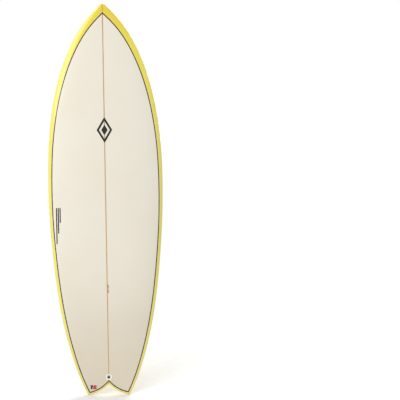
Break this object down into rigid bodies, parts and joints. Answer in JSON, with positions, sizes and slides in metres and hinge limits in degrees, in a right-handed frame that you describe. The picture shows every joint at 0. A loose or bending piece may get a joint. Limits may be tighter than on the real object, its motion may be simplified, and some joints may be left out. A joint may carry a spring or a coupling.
{
  "type": "surfboard",
  "caption": "Swallow-tail fish surfboard with a wooden stringer, tinted bottom and cut lap, flat fin plugs with tab slots and grub screws, and a leash plug; no fins fitted.",
  "frame": {"origin": "midway between the two tail tips, at half the thickness of the tail; everything but fabric and resin is forward of it", "axes": "+Z from the tail to the nose, -Y out of the deck, +Y out of the bottom, +X to the right of someone looking at the deck; the board stands upright on its tail, as it hangs in a rack"},
  "size_m": [0.539, 0.1366, 1.778],
  "materials": {
    "foam": "matt closed-cell foam",
    "stringer_wood": "planed",
    "tinted_glass": "gloss, translucent yellow resin tint over fibreglass",
    "clear_glass": "gloss, clear resin over white foam",
    "patch_cloth": "resin-filled glass cloth",
    "pinline_resin": "gloss",
    "plug_plastic": "sanded nylon",
    "screw_steel": "stainless",
    "pin_steel": "stainless",
    "print_black": "printed rice paper under resin",
    "print_grey": "printed rice paper under resin",
    "print_sticker": "printed sticker under resin"
  },
  "bodies": {
    "board": {"stringer": "stringer_wood", "foam_blank_left": "foam", "foam_blank_right": "foam", "bottom_laminate": "tinted_glass", "deck_laminate": "clear_glass", "deck_patch": "patch_cloth", "pinline": "pinline_resin", "fin_patch_left": "patch_cloth", "fin_patch_right": "patch_cloth", "fin_plug_left": "plug_plastic", "fin_plug_right": "plug_plastic", "leash_plug_cup": "plug_plastic", "leash_plug_pin": "pin_steel", "deck_emblem": "print_black", "rail_mark": "print_black", "tail_sticker": "print_sticker", "bottom_emblem": "print_grey", "bottom_mark": "print_black", "tail_disc": "print_grey"},
    "fin_screw_left_front": {"fin_screw_left_front": "screw_steel"},
    "fin_screw_left_rear": {"fin_screw_left_rear": "screw_steel"},
    "fin_screw_right_front": {"fin_screw_right_front": "screw_steel"},
    "fin_screw_right_rear": {"fin_screw_right_rear": "screw_steel"}
  },
  "joints": [
    {"name": "fin_screw_left_front_travel", "type": "slide", "parent": "board", "child": "fin_screw_left_front", "axis": [-0.0183, 0.9673, 0.2531], "range_m": [-0.0015, 0.006]},
    {"name": "fin_screw_left_rear_travel", "type": "slide", "parent": "board", "child": "fin_screw_left_rear", "axis": [-0.0183, 0.9673, 0.2531], "range_m": [-0.0015, 0.006]},
    {"name": "fin_screw_right_front_travel", "type": "slide", "parent": "board", "child": "fin_screw_right_front", "axis": [0.0183, 0.9673, 0.2531], "range_m": [-0.0015, 0.006]},
    {"name": "fin_screw_right_rear_travel", "type": "slide", "parent": "board", "child": "fin_screw_right_rear", "axis": [0.0183, 0.9673, 0.2531], "range_m": [-0.0015, 0.006]}
  ]
}
